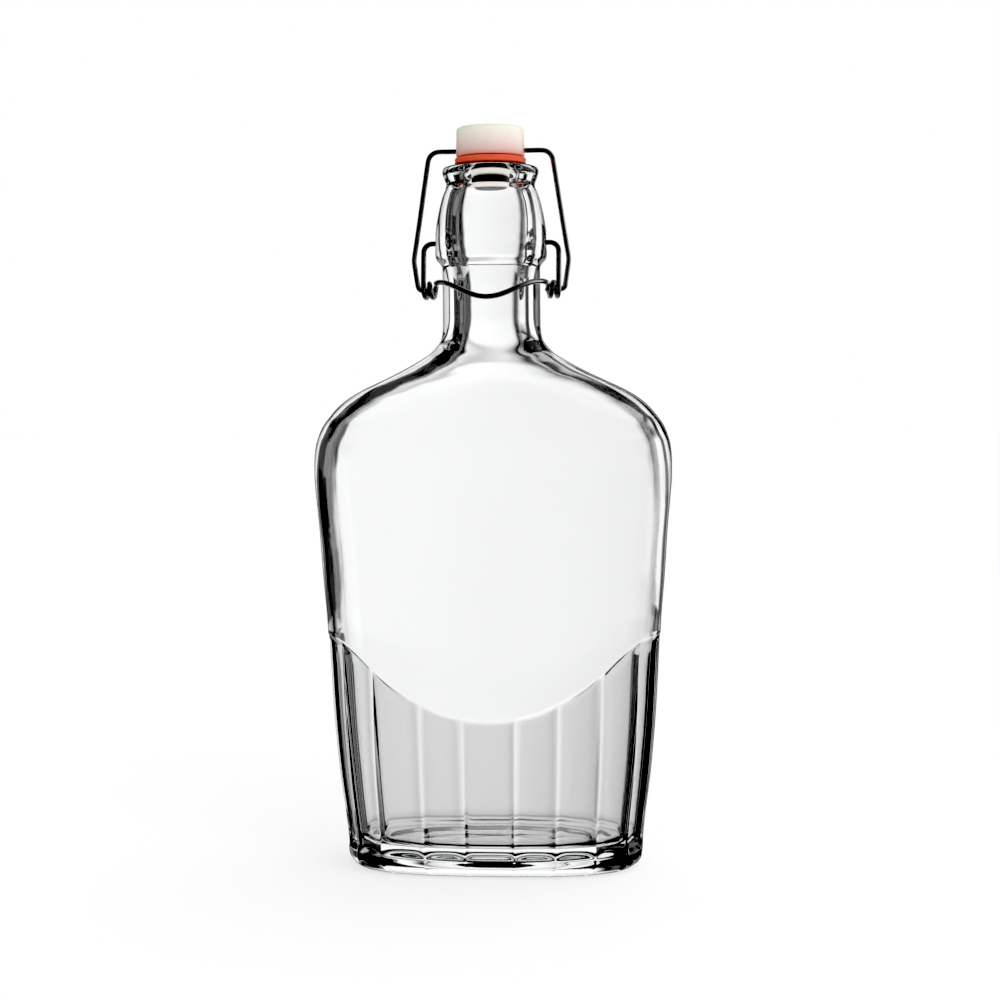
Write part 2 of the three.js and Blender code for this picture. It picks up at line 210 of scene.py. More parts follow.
# mesh columns between two ridges, as fractions of the gap
FLUTE_STEPS = [0, .014, .035, .075, .15, .26, .38, .5, .62, .74, .85, .925, .965, .986]
PLAIN_STEPS = [0, .125, .25, .375, .5, .625, .75, .875]
PLAIN_FROM, PLAIN_TO = 7.0, 172.0    # degrees; gaps that start in this range are plain
BACK_FADE = 6.5                      # degrees each side of the x axis

RIDGE_INSET = 0.30         # ridges below the plain body
HOLLOW_DEPTH = 0.95        # of a flute at least HOLLOW_FULL_WIDTH wide
HOLLOW_FULL_WIDTH = 9.0
HEEL_Z = 6.0               # the flutes fade out below this
FLUTES_TOP_Z = 78.0        # plain body above this
LOW_ROWS_TOP = 10.4        # top of the closely spaced rows over the heel
SHOULDER_Z, BODY_TOP_Z, NECK_TOP_Z = 126, 165, 207.0

DOME_HEIGHT, DOME_INSET = 3.0, 9.2
HEEL_RADIUS, HEEL_HEIGHT = 4.6, 4.4
DIMPLE_Z = 190.2           # dimples at both sides take the lever's ends
DIMPLE_FLOOR_RADIUS = 13.95

CORNER_Z, CORNER_X, CORNER_Y, CORNER_POWER = CAVITY[-1]
CORNER_INSET, CORNER_DROP = 3.8, 3.9
FLOOR_RISE = 0.9           # the cavity's floor is higher at its centre


# ---------------------------------------------------------------- flask: columns
def column_table():
    """Ridge before, ridge after and fraction between them, for each mesh column."""
    ridges = (RIDGES + [180 - r for r in reversed(RIDGES)]
              + [180 + r for r in RIDGES_FRONT_LEFT] + [360 - r for r in reversed(RIDGES)])
    columns = []
    for start, end in zip(ridges, ridges[1:] + [ridges[0] + 360]):
        for t in (PLAIN_STEPS if PLAIN_FROM < start < PLAIN_TO else FLUTE_STEPS):
            columns.append((math.radians(start), math.radians(end), t))
    return np.array(columns).T


def body_at(z):
    return [pchip(BODY[:, 0], BODY[:, k], z) for k in (1, 2, 3)]


GAP_START, GAP_END, GAP_T = column_table()
ANGLES = GAP_START + (GAP_END - GAP_START) * GAP_T
COLUMNS = len(ANGLES)
COS, SIN = np.cos(ANGLES), np.sin(ANGLES)
# the flutes wrap round the front and the two sides; the back panel is plain
BACK = smooth(-BACK_FADE, BACK_FADE, np.degrees(np.arctan2(SIN, np.abs(COS))))

gap_middle = np.degrees((GAP_START + GAP_END) / 2) % 360
SYMMETRIC = (np.abs((gap_middle + 90) % 180 - 90) < 14) | (np.abs(gap_middle - 270) < 5)
# 0 at the ridge nearer the centre line, 1 at the outer ridge; symmetric flutes, at the
# centre and the sides, have an outer ridge on both sides
OUTWARD = np.where(gap_middle > 270, GAP_T, 1 - GAP_T)
OUTWARD = np.where(SYMMETRIC, 0.5 + np.abs(GAP_T - 0.5), OUTWARD)

ledge_section_x = oval(ANGLES, *body_at(np.full(COLUMNS, LEDGE_SECTION_Z)))[0]
LEDGE_Z = pchip(LEDGE[:, 0], LEDGE[:, 1], np.abs(ledge_section_x)) + LEDGE_LIFT


def outer_ring(z):
    """x, y and inset below the plain body, at the heights z (one per column)."""
    half_x, half_y, power = body_at(z)
    plain_radius = np.hypot(*oval(ANGLES, half_x, half_y, power))
    ridge_oval = (half_x - RIDGE_INSET, half_y - RIDGE_INSET, power)
    start = np.array(oval(GAP_START, *ridge_oval))
    edge = np.array(oval(GAP_END, *ridge_oval)) - start
    width = np.hypot(*edge)
    normal = np.array([edge[1], -edge[0]]) / width
    slant = np.clip(COS * normal[0] + SIN * normal[1], 0.35, 1)
    # distance from the axis to the straight line between the ridges
    chord = (start[0] * edge[1] - start[1] * edge[0]) / (COS * edge[1] - SIN * edge[0])
    # the hollow eases in from the inner ridge and steps up sharply at the outer ridge
    depth = HOLLOW_DEPTH * np.clip(width / HOLLOW_FULL_WIDTH, 0.45, 1.0)
    to_outer, to_inner = (1 - OUTWARD) * width, OUTWARD * width
    ease = np.where(SYMMETRIC, 1.0, smooth(-0.3, 5.0, to_inner))
    hollow = depth * ease * (1 - np.exp(-(to_outer / 0.62) ** 1.6))
    flute = np.maximum((plain_radius - chord) * slant, 0.05) + hollow
    # limits that close the flutes at the ledge and at the heel: slope, softness
    top_limit = softplus(LEDGE_Z - z, 0.16) * 0.62
    heel_limit = softplus(z - HEEL_Z, 0.25) * 0.9 + 0.16 * flute
    inset = soft_min(soft_min(top_limit, flute, 0.16), heel_limit, 0.22)
    inset = np.clip(inset, 0, None) * (1 - BACK)
    radius = plain_radius - inset / slant
    return radius * COS, radius * SIN, inset


def flute_shade(inset, z):
    """Strength of the painted shade in the flutes' glass colour, fading at the heel and weaker
    higher up.
    """
    height_gain = 0.62 + 0.38 * np.clip((46 - z) / 34, 0, 1)
    return np.clip((inset - 0.15) / 1.1, 0, 1) * smooth(9.0, 13.0, z) * height_gain


# ---------------------------------------------------------------- flask: rings
glass_rings, glass_flutes = [], []


def add_ring(x, y, z, flute=0.0):
    glass_rings.append(np.stack([x, y, np.broadcast_to(z, (COLUMNS,))], 1))
    glass_flutes.append(np.broadcast_to(flute, (COLUMNS,)))


def add_heel_ring(inset, z):
    """Ring of the base, inset from the body, keeping a trace of the flutes."""
    heights = np.full(COLUMNS, z)
    x, y, _ = outer_ring(heights)
    half_x, half_y, power = body_at(heights)
    plain_x, plain_y = oval(ANGLES, half_x, half_y, power)
    inset_x, inset_y = oval(ANGLES, half_x - inset, half_y - inset, power)
    add_ring(x - plain_x + inset_x, y - plain_y + inset_y, z)


def add_base():
    """Push-up dome, flat bearing ring and rounded heel."""
    half_x, half_y, power = body_at(np.zeros(COLUMNS))
    for s in np.linspace(0.04, 1.0, 16):
        x, y = oval(ANGLES, (half_x - DOME_INSET) * s, (half_y - DOME_INSET) * s,
                    2 + (power - 2) * s)
        add_ring(x, y, DOME_HEIGHT * (1 - s**3.2) * (1 - 0.25 * s))
    for inset in (8.6, 7.6, 6.4, 5.4):
        add_heel_ring(inset, 0.0)
    for k in stations(0, (1, 12)):
        angle = k * math.pi / 2
        add_heel_ring(HEEL_RADIUS * (1 - math.sin(angle)), HEEL_HEIGHT * (1 - math.cos(angle)))


def add_outer_wall():
    heights = [np.full(COLUMNS, z) for z in np.linspace(4.8, LOW_ROWS_TOP, 21)]
    heights += [LOW_ROWS_TOP + (LEDGE_Z - 3.0 - LOW_ROWS_TOP) * t for t in stations(0, (1, 18))]
    # rows that follow the ledge, close together where the flutes end
    heights += [LEDGE_Z + rise for rise in (
        -2.6, -2.3, -2.05, -1.8, -1.55, -1.3, -1.1, -0.92, -0.75, -0.6, -0.45, -0.3, -0.18,
        -0.06, 0.06, 0.2, 0.36, 0.55, 0.8, 1.1, 1.5)]
    heights += [LEDGE_Z + 1.5 + (FLUTES_TOP_Z - LEDGE_Z - 1.5) * t for t in stations(0, (1, 9))]
    for z in heights:
        x, y, inset = outer_ring(z)
        add_ring(x, y, z, flute_shade(inset, z))
    for z in stations(FLUTES_TOP_Z, (SHOULDER_Z, 23), (BODY_TOP_Z, 54)):
        add_ring(*oval(ANGLES, *body_at(np.full(COLUMNS, z))), z)


def add_neck_and_lip():
    for z in stations(BODY_TOP_Z, (182, 9), (186, 13), (194.6, 27), (NECK_TOP_Z, 16)):
        radius = np.full(COLUMNS, pchip(NECK[:, 0], NECK[:, 1], z))
        distance = np.hypot(radius * SIN, z - DIMPLE_Z)
        dimple = (np.clip(radius - DIMPLE_FLOOR_RADIUS, 0, None)
                  * (1 - smooth(1.15, 3.5, distance)))
        radius = radius - dimple
        add_ring(radius * COS, radius * SIN, z)
    along_lip = np.r_[0, np.cumsum(np.hypot(*np.diff(LIP, axis=0).T))]
    for s in stations(0, (along_lip[-1], 34)):
        radius, z = pchip(along_lip, LIP[:, 0], s), pchip(along_lip, LIP[:, 1], s)
        add_ring(radius * COS, radius * SIN, z)


def wall_wave(x, y, z):
    """Blown glass: the inner wall wanders a few tenths of a millimetre."""
    return (0.16 * np.sin(x / 11.0 + 0.7) * np.sin(z / 23.0 + 1.1)
            + 0.10 * np.sin(x / 19.0 - z / 31.0 + y / 15.0)
            + 0.07 * np.sin(z / 9.0 + x / 27.0 + 2.0))


def add_cavity():
    for z in stations(CAVITY[0, 0], (166, 34), (SHOULDER_Z, 40), (20, 30), (CORNER_Z, 6)):
        half_x, half_y, power = (pchip(-CAVITY[:, 0], CAVITY[:, k], -z) for k in (1, 2, 3))
        x, y = oval(ANGLES, half_x, half_y, power)
        # no waves in the neck or near the floor
        wave = wall_wave(x, y, z) * (smooth(11.0, 15.0, half_x) * smooth(10, 22, z))
        radius = np.hypot(x, y)
        add_ring(x * (1 + wave / radius), y * (1 + wave / radius), z)
    # rounded corner, then the floor
    for k in stations(0, (1, 13)):
        angle = k * math.pi / 2
        inset = CORNER_INSET * (1 - math.cos(angle))
        x, y = oval(ANGLES, CORNER_X - inset, CORNER_Y - inset, CORNER_POWER - 0.2 * k)
        add_ring(x, y, CORNER_Z - CORNER_DROP * math.sin(angle))
    for s in stations(1, (0.04, 13)):
        x, y = oval(ANGLES, (CORNER_X - CORNER_INSET) * s, (CORNER_Y - CORNER_INSET) * s,
                    2.0 + 0.4 * s)
        add_ring(x, y, CORNER_Z - CORNER_DROP + FLOOR_RISE * (1 - s * s))


def build_flask():
    add_base()
    add_outer_wall()
    add_neck_and_lip()
    add_cavity()
    obj = grid_mesh("flask_glass", glass_rings, (0, 0, DOME_HEIGHT),
                    (0, 0, CORNER_Z - CORNER_DROP + FLOOR_RISE))
    # flute: strength of the painted flute shade at each vertex
    point_attribute(obj, "flute", np.concatenate(glass_flutes))
    return obj


# ---------------------------------------------------------------- wires
COIL_Z, BAR_Z = 176.0, 218.0     # lever coils' axis, bail's crossbar
LEG_X = 20.6                     # lever's upright legs
COIL_RADIUS, COIL_TURNS, COIL_PITCH = 2.2, 1.75, 2.15
BOW_DROP, BOW_PUSH = 5.0, 0.6    # of the lever's bow at the front: down, and out from a circle
LEVER_RADIUS, BAIL_RADIUS = 0.8, 0.75    # wire radii
CAP_ANGLES = (0.25, 0.6, 0.95, 1.25, 1.45)    # rings of a wire's rounded end


def round_ends(points, radius):
    """Path with both ends turned into hemispheres, and the wire's radius along it."""
    path, radii = [np.array(p, float) for p in points], [radius] * len(points)
    for _ in range(2):
        end = path[-1]
        outward = unit(end - path[-2])
        path[-1] = end - outward * radius
        for k in CAP_ANGLES:
            path.append(end + outward * radius * (math.sin(k) - 1))
            radii.append(radius * math.cos(k))
        path.reverse()
        radii.reverse()
    return np.array(path), radii


def sweep_wire(name, points, radius, sides=20):
    path, radii = round_ends(points, radius)
    tangents = np.gradient(path, axis=0)
    tangents /= np.linalg.norm(tangents, axis=1)[:, None]
    length = np.r_[0, np.cumsum(np.linalg.norm(np.diff(path, axis=0), axis=1))]
    around = np.linspace(0, 2 * math.pi, sides, endpoint=False)
    normal = unit(np.cross(tangents[0], [0.3, 0.9, 0.31]))
    rings = []
    for point, tangent, ring_radius in zip(path, tangents, radii):
        normal = unit(normal - tangent * np.dot(normal, tangent))
        side = np.cross(tangent, normal)
        rings.append(point + ring_radius * (np.cos(around)[:, None] * normal
                                            + np.sin(around)[:, None] * side))
    obj = grid_mesh(name, rings, path[0] + (path[0] - path[1]) * 0.05,
                    path[-1] + (path[-1] - path[-2]) * 0.05)
    point_attribute(obj, "along", np.repeat(length, sides) * MM, last=length[-1] * MM)
    point_attribute(obj, "ring_x", np.tile(np.cos(around), len(path)))
    point_attribute(obj, "ring_y", np.tile(np.sin(around), len(path)))
    return obj


def mirrored(half):
    """Whole path from its +x half, which ends at x = 0."""
    return half + [np.array((-p[0], p[1], p[2])) for p in half[:-1]][::-1]


def relax(points, rounds):
    """Smooth a path, holding two points at each end."""
    path = np.array(points)
    for _ in range(rounds):
        neighbours = path[1:-3] + path[3:-1]
        path[2:-2] = path[2:-2] * 0.5 + 0.25 * neighbours
    return list(path)


def lever_points():
    """From the dimple out, down the leg, inwards round the coil, and along the front bow."""
    end, shoulder = (14.4, 0, DIMPLE_Z), (16.6, 0, DIMPLE_Z)
    foot = (LEG_X, -COIL_RADIUS, COIL_Z)
    half = [end, shoulder] + corner(shoulder, (LEG_X, 0, DIMPLE_Z), foot, 2.6, 12)
    half.append((LEG_X, -COIL_RADIUS, COIL_Z + 1.0))
    half = densify(half, 0.8)
    coil_steps = int(COIL_TURNS * 32)
    for i in range(coil_steps + 1):
        turns = i / coil_steps * COIL_TURNS
        a = turns * 2 * math.pi
        half.append(np.array((LEG_X - turns * COIL_PITCH, -COIL_RADIUS * math.cos(a),
                              COIL_Z - COIL_RADIUS * math.sin(a))))
    bow_radius = LEG_X - COIL_TURNS * COIL_PITCH
    bow_steps = 40
    for i in range(1, bow_steps + 1):
        a = i / bow_steps * math.pi / 2
        half.append(np.array((bow_radius * math.cos(a), -(bow_radius + BOW_PUSH) * math.sin(a),
                              COIL_Z + COIL_RADIUS - BOW_DROP * math.sin(a) ** 5)))
    return mirrored(half)


def bail_points():
    """From inside the lever's coil out, up the side, and over the crossbar."""
    pin, foot, knee = (16.3, 0, COIL_Z), (22.35, 0, COIL_Z), (23.7, 0, 185.2)
    hip, waist = (22.75, 0, 190.6), (22.1, 0, 195)
    shoulder, middle = (18.6, 0, BAR_Z), (0, 0, BAR_Z)
    half = ([pin] + corner(pin, foot, knee, 1.6, 12) + corner(foot, knee, hip, 7, 8)
            + [waist] + corner(waist, shoulder, middle, 3.4, 14) + [middle])
    return mirrored(densify(half, 1.0))


# ---------------------------------------------------------------- stopper and gasket
# outlines: radius, z, radius of the rounded corner
HEAD = [
    (0.4, 205.4, 0), (4.6, 205.4, 0.5), (5.5, 206.4, 0.6), (5.9, 210.4, 0.5), (5.9, 216.2, 0),
    (10.2, 216.2, 0.12), (10.42, 216.6, 0.12), (10.22, 225.0, 1.1), (8.3, 225.0, 0.2),
    (7.9, 224.75, 0.3), (0.4, 224.7, 0)]
GASKET = [
    (6.2, 214.4, 0), (6.2, 212.7, 0.1), (7.8, 212.8, 0.35), (9.2, 213.5, 0.35),
    (10.3, 213.5, 0.3), (10.85, 214.0, 0.3), (10.7, 214.7, 0.35), (10.85, 215.4, 0.3),
    (10.5, 215.9, 0.3), (6.2, 215.9, 0.1), (6.2, 214.4, 0)]
# cross hole for the bail, flared at its ends: distance from the centre along x, radius
CROSS_HOLE = [(12, 2.1), (9.95, 1.9), (9.2, 1.15)]


def rounded_outline(table, step):
    points = [np.array(row[:2], float) for row in table]
    outline = [points[0]]
    for i in range(1, len(points) - 1):
        radius = table[i][2]
        if radius > 0:
            flat = [np.r_[p, 0] for p in points[i - 1:i + 2]]
            outline += [p[:2] for p in corner(*flat, radius, 6)]
        else:
            outline.append(points[i])
    return densify(outline + [points[-1]], step)


def turned_rings(outline, sides=144):
    a = np.linspace(0, 2 * math.pi, sides, endpoint=False)
    return [np.stack([r * np.cos(a), r * np.sin(a), np.full(sides, z)], 1) for r, z in outline]


def hole_cutter(sides=48):
    profile = [(-x, r) for x, r in CROSS_HOLE] + CROSS_HOLE[::-1]
    a = np.linspace(0, 2 * math.pi, sides, endpoint=False)
    rings = [np.stack([np.full(sides, x), r * np.cos(a), BAR_Z + r * np.sin(a)], 1)
             for x, r in profile]
    return grid_mesh("cut_a", rings, (profile[0][0], 0, BAR_Z), (profile[-1][0], 0, BAR_Z))


def subtract(target, cutter):
    modifier = target.modifiers.new("cut", "BOOLEAN")
    modifier.operation = "DIFFERENCE"
    modifier.solver = "EXACT"
    modifier.object = cutter
    depsgraph = bpy.context.evaluated_depsgraph_get()
    mesh = bpy.data.meshes.new_from_object(target.evaluated_get(depsgraph))
    target.modifiers.clear()
    target.data = mesh
    bpy.data.objects.remove(cutter)
    shade_smooth(mesh)


def build_stopper():
    rings = turned_rings(rounded_outline(HEAD, 0.35))
    obj = grid_mesh("stopper_head", rings, (0, 0, HEAD[0][1]), (0, 0, HEAD[-1][1]))
    subtract(obj, hole_cutter())
    return obj


def build_gasket():
    rings = turned_rings(rounded_outline(GASKET, 0.25)[:-1])
    m, n = len(rings), len(rings[0])
    faces = []
    for i in range(m):
        k = (i + 1) % m
        for j in range(n):
            l = (j + 1) % n
            faces.append((i * n + j, i * n + l, k * n + l, k * n + j))
    return mesh_object("gasket_ring", np.concatenate(rings), faces)


def face_outward(obj):
    bm = bmesh.new()
    bm.from_mesh(obj.data)
    if bm.calc_volume(signed=True) < 0:
        bmesh.ops.reverse_faces(bm, faces=bm.faces)
    bm.to_mesh(obj.data)
    bm.free()
    obj.data.update()


bottle = build_flask()
lever = sweep_wire("lever_wire_fine", relax(lever_points(), rounds=2), LEVER_RADIUS)
bail = sweep_wire("bail_wire_fine", relax(bail_points(), rounds=4), BAIL_RADIUS)
stopper = build_stopper()
gasket = build_gasket()
for piece in (bottle, lever, bail, stopper, gasket):
    face_outward(piece)


# ---------------------------------------------------------------- shader helpers
def add_node(tree, kind, inputs=None, **settings):
    """New node; each input is given a value, or linked to a socket or a node's first output."""
    node = tree.nodes.new("ShaderNode" + kind)
    for name, value in settings.items():
        setattr(node, name, value)
    for key, value in (inputs or {}).items():
        if isinstance(value, bpy.types.Node):
            value = value.outputs[0]
        if isinstance(value, bpy.types.NodeSocket):
            tree.links.new(value, node.inputs[key])
        else:
            node.inputs[key].default_value = value
    return node


def new_material(name):
    material = bpy.data.materials.new(name)
    material.use_nodes = True
    material.node_tree.nodes.clear()
    return material, material.node_tree


def maths(tree, operation, *values):
    return add_node(tree, "Math", dict(enumerate(values)), operation=operation).outputs[0]


def scaled(tree, value, gain, offset):
    return maths(tree, "ADD", maths(tree, "MULTIPLY", value, gain), offset)


def ramp(tree, factor, stops):
    """Colour ramp; a stop is (position, grey or colour)."""
    node = add_node(tree, "ValToRGB", {0: factor})
    elements = node.color_ramp.elements
    while len(elements) > 1:
        elements.remove(elements[-1])
    elements[0].position = stops[0][0]
    for i, (position, tone) in enumerate(stops):
        element = elements.new(position) if i else elements[0]
        element.color = (tone if isinstance(tone, tuple) else (tone,) * 3) + (1,)
    return node.outputs[0]


def mix_colour(tree, factor, a, b, blend_type="MIX"):
    inputs = {0: factor, 6: a, 7: b}
    return add_node(tree, "Mix", inputs, data_type="RGBA", blend_type=blend_type).outputs[2]


def object_coords(tree):
    return add_node(tree, "TexCoord").outputs["Object"]


def noise(tree, vector, scale, detail, roughness=0.5):
    inputs = {"Vector": vector, "Scale": scale, "Detail": detail, "Roughness": roughness}
    return add_node(tree, "TexNoise", inputs).outputs["Fac"]


def bump(tree, height, strength, distance):
    return add_node(tree, "Bump", {"Strength": strength, "Distance": distance, "Height": height})


def attribute(tree, name):
    return add_node(tree, "Attribute", attribute_name=name).outputs["Fac"]


def height_between(tree, coords, low, high):
    """0 at the height low, 1 at the height high."""
    z = add_node(tree, "SeparateXYZ", {0: coords}).outputs["Z"]
    return add_node(tree, "MapRange", {"Value": z, "From Min": low, "From Max": high}).outputs[0]


# ---------------------------------------------------------------- materials
def glass_material():
    material, tree = new_material("flask_glass")
    # painted shade: the base colour greys the glass where the flute attribute is high, standing
    # for the darker tone of the fluted wall
    tint_and_painted_shade = ramp(tree, attribute(tree, "flute"), [
        (0.0, (0.992, 0.996, 0.994)), (0.5, (0.58, 0.572, 0.59)), (1.0, (0.52, 0.512, 0.53))])
    waves = noise(tree, object_coords(tree), scale=95.0, detail=2.0, roughness=0.4)
    clear = add_node(tree, "BsdfPrincipled", {
        "Base Color": tint_and_painted_shade,
        "IOR": 1.52,
        "Transmission Weight": 1.0,
        "Roughness": ramp(tree, waves, [(0.35, 0.0), (0.75, 0.012)]),
        "Normal": bump(tree, waves, strength=0.10, distance=0.0006)})
    # painted shade: at the very edge of the outline, met by the camera at a grazing angle, a
    # near-black matt rim is mixed in
    geometry = add_node(tree, "NewGeometry").outputs
    camera_ray = add_node(tree, "LightPath").outputs["Is Camera Ray"]
    facing = add_node(tree, "VectorMath", {0: geometry["Normal"], 1: geometry["Incoming"]},
                      operation="DOT_PRODUCT").outputs["Value"]
    edge = ramp(tree, maths(tree, "ABSOLUTE", facing), [(0.0, 0.97), (0.10, 0.9), (0.19, 0.0)])
    front_face = maths(tree, "SUBTRACT", 1.0, geometry["Backfacing"])
    edge = maths(tree, "MULTIPLY", edge, maths(tree, "MULTIPLY", camera_ray, front_face))
    # painted shade: near-black matt colour for the outline's edge
    painted_dark_rim = add_node(tree, "BsdfDiffuse", {"Color": (0.004, 0.005, 0.005, 1)})
    surface = add_node(tree, "MixShader", {0: edge, 1: clear, 2: painted_dark_rim})
    volume = add_node(tree, "VolumeAbsorption", {"Color": (0.72, 0.86, 0.80, 1), "Density": 2.5})
    add_node(tree, "OutputMaterial", {"Surface": surface, "Volume": volume})
    return material


def steel_material(name, tint_and_painted_shade, seed):
    material, tree = new_material(name)
    # drawing marks, stretched along the wire
    wire_coords = add_node(tree, "CombineXYZ", {
        2: maths(tree, "MULTIPLY", attribute(tree, "along"), 40.0),
        0: maths(tree, "MULTIPLY", attribute(tree, "ring_x"), 3.0),
        1: maths(tree, "MULTIPLY", attribute(tree, "ring_y"), 3.0)})
    marks = add_node(tree, "TexNoise", {
        "Vector": wire_coords, "Scale": 4.0, "Detail": 4.0, "Roughness": 0.6, "W": seed},
        noise_dimensions="4D").outputs["Fac"]
    blotches = noise(tree, object_coords(tree), scale=350.0, detail=3.0)
    dark = tuple(c * 0.78 for c in tint_and_painted_shade)
    shader = add_node(tree, "BsdfPrincipled", {
        "Metallic": 1.0,
        "Base Color": ramp(tree, marks, [(0.3, dark), (0.7, tint_and_painted_shade)]),
        "Roughness": scaled(tree, blotches, gain=0.14, offset=0.16),
        "Normal": bump(tree, marks, strength=0.25, distance=0.00006)})
    add_node(tree, "OutputMaterial", {"Surface": shader})
    return material


# stopper colours by height: a painted red glow from the gasket at the foot of the head, then
# cream painted lighter towards the top
HEAD_TONES_WITH_PAINTED_LIGHT = [
    (0.50, (.80, .17, .10)), (0.55, (.80, .26, .19)), (0.59, (.82, .44, .37)),
    (0.64, (.84, .60, .54)), (0.74, (.89, .75, .70)), (0.86, (.95, .87, .78)),
    (0.97, (.99, .95, .82))]
# the plug as seen through the glass: black lower edge, pale tip, dark band, pale again; the
# black edge and the dark band are painted shade for the dark the glass lip bends onto it
PLUG_BEHIND_GLASS_PAINTED_SHADE = [
    (0.02, (.02, .02, .02)), (0.045, (.72, .69, .69)), (0.135, (.84, .81, .80)),
    (0.155, (.010, .008, .008)), (0.31, (.010, .008, .008)), (0.33, (.85, .83, .76)),
    (0.47, (.85, .80, .70))]
PLUG_BARE = [(0.02, (.80, .77, .74)), (0.10, (.88, .84, .78)), (0.47, (.86, .80, .72))]
# painted glow: emission on the plug's pale bands, standing for light that shines through the
# milky plastic
PLUG_PAINTED_GLOW = [(0.045, 0.0), (0.06, 1.0), (0.13, 1.0), (0.155, 0.0), (0.31, 0.0), (0.33, 1.0),
             (0.45, 1.0), (0.48, 0.0)]


def plastic_material():
    """Milky moulded plastic, with painted light and painted shade in its colour."""
    material, tree = new_material("stopper_plastic")
    coords = object_coords(tree)
    clouds = noise(tree, coords, scale=140.0, detail=3.0)
    grain = noise(tree, coords, scale=2600.0, detail=2.0)
    height = height_between(tree, coords, 0.2050, 0.2250)
    through = ramp(tree, height, PLUG_BEHIND_GLASS_PAINTED_SHADE + HEAD_TONES_WITH_PAINTED_LIGHT)
    bare = ramp(tree, height, PLUG_BARE + HEAD_TONES_WITH_PAINTED_LIGHT)
    # seen through the glass the plug takes the painted dark band; seen bare it stays plain cream
    depth = add_node(tree, "LightPath").outputs["Transmission Depth"]
    behind_glass = maths(tree, "MINIMUM", depth, 1.0)
    colour = mix_colour(tree, behind_glass, bare, through)
    # painted glow, only where the plug is seen through the glass
    painted_glow = maths(tree, "MULTIPLY", ramp(tree, height, PLUG_PAINTED_GLOW),
                 maths(tree, "MULTIPLY", behind_glass, 0.55))
    cloud_tone = ramp(tree, clouds, [(0.3, 0.95), (0.7, 1.0)])
    shader = add_node(tree, "BsdfPrincipled", {
        "Base Color": mix_colour(tree, 1.0, colour, cloud_tone, "MULTIPLY"),
        "Emission Strength": painted_glow,
        "Emission Color": (1.0, .98, .93, 1),
        "Subsurface Weight": 0.45,
        "Subsurface Radius": (1.0, 0.62, 0.42),
        "Subsurface Scale": 0.002,
        "IOR": 1.48,
        "Roughness": scaled(tree, grain, gain=0.12, offset=0.30),
        "Normal": bump(tree, grain, strength=0.12, distance=0.00005)})
    add_node(tree, "OutputMaterial", {"Surface": shader})
    return material


def rubber_material():
    """Red rubber, its underside painted darker and greyer as shade."""
    material, tree = new_material("gasket_rubber")
    coords = object_coords(tree)
    grain = noise(tree, coords, scale=1800.0, detail=4.0, roughness=0.65)
    blotches = noise(tree, coords, scale=220.0, detail=2.0)
    # painted shade: the underside darkens to blue-grey, standing for the shadowed gap between
    # gasket and lip; the top pales a little
    level = ramp(tree, height_between(tree, coords, 0.2125, 0.2160), [
        (0.36, (.17, .19, .25)), (0.46, (.62, .40, .35)), (0.56, (1.0, 1.0, 1.0)),
        (0.90, (1.0, .97, .95)), (1.0, (.95, .85, .80))])
    red = ramp(tree, blotches, [(0.3, (0.86, 0.115, 0.05)), (0.7, (0.93, 0.17, 0.085))])
    shader = add_node(tree, "BsdfPrincipled", {
        "Base Color": mix_colour(tree, 1.0, red, level, "MULTIPLY"),
        "Subsurface Weight": 0.25,
        "Subsurface Radius": (1.0, 0.3, 0.15),
        "Subsurface Scale": 0.0015,
        "Roughness": scaled(tree, grain, gain=0.25, offset=0.38),
        "Normal": bump(tree, grain, strength=0.3, distance=0.00008)})
    add_node(tree, "OutputMaterial", {"Surface": shader})
    return material


glass = glass_material()
lever_steel = steel_material("lever_wire_steel", tint_and_painted_shade=(0.60, 0.61, 0.60), seed=1.0)
bail_steel = steel_material("bail_wire_steel", tint_and_painted_shade=(0.58, 0.59, 0.59), seed=7.0)
plastic = plastic_material()
rubber = rubber_material()

# object, material, slot, body it rides on, CAD node it replaces
PIECES = (
    (bottle, glass, "glass", "flask_body", "bottle"),
    (lever, lever_steel, "lever_steel", "lever", "lever_wire"),
    (bail, bail_steel, "bail_steel", "bail", "bail_wire"),
    (stopper, plastic, "stopper_plastic", "closure_head", "stopper"),
    (gasket, rubber, "gasket_rubber", "closure_head", "gasket"))
for obj, material, slot, body, cad_node in PIECES:
    obj.data.materials.clear()
    obj.data.materials.append(material)
    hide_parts(cad_node)
    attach(obj, body)

# ---------------------------------------------------------------- camera
scene = bpy.context.scene
CAMERA_PLACE = (0.0485, -0.590, 0.145)
TILT = math.radians(3.2)       # the camera looks down by this much
ROLL = math.radians(-0.5)


def add_camera():
    data = bpy.data.cameras.new("camera")
    camera = bpy.data.objects.new("camera", data)
    scene.collection.objects.link(camera)
    camera.location = CAMERA_PLACE
    azimuth = math.atan2(CAMERA_PLACE[0], -CAMERA_PLACE[1])
    camera.rotation_euler = (Matrix.Rotation(azimuth, 4, "Z")
                             @ Matrix.Rotation(math.pi / 2 - TILT, 4, "X")
                             @ Matrix.Rotation(ROLL, 4, "Z")).to_euler()
    data.lens = 69.6
    data.sensor_width = 36
    data.shift_x = 0.0067
    data.clip_start = 0.01
    scene.camera = camera


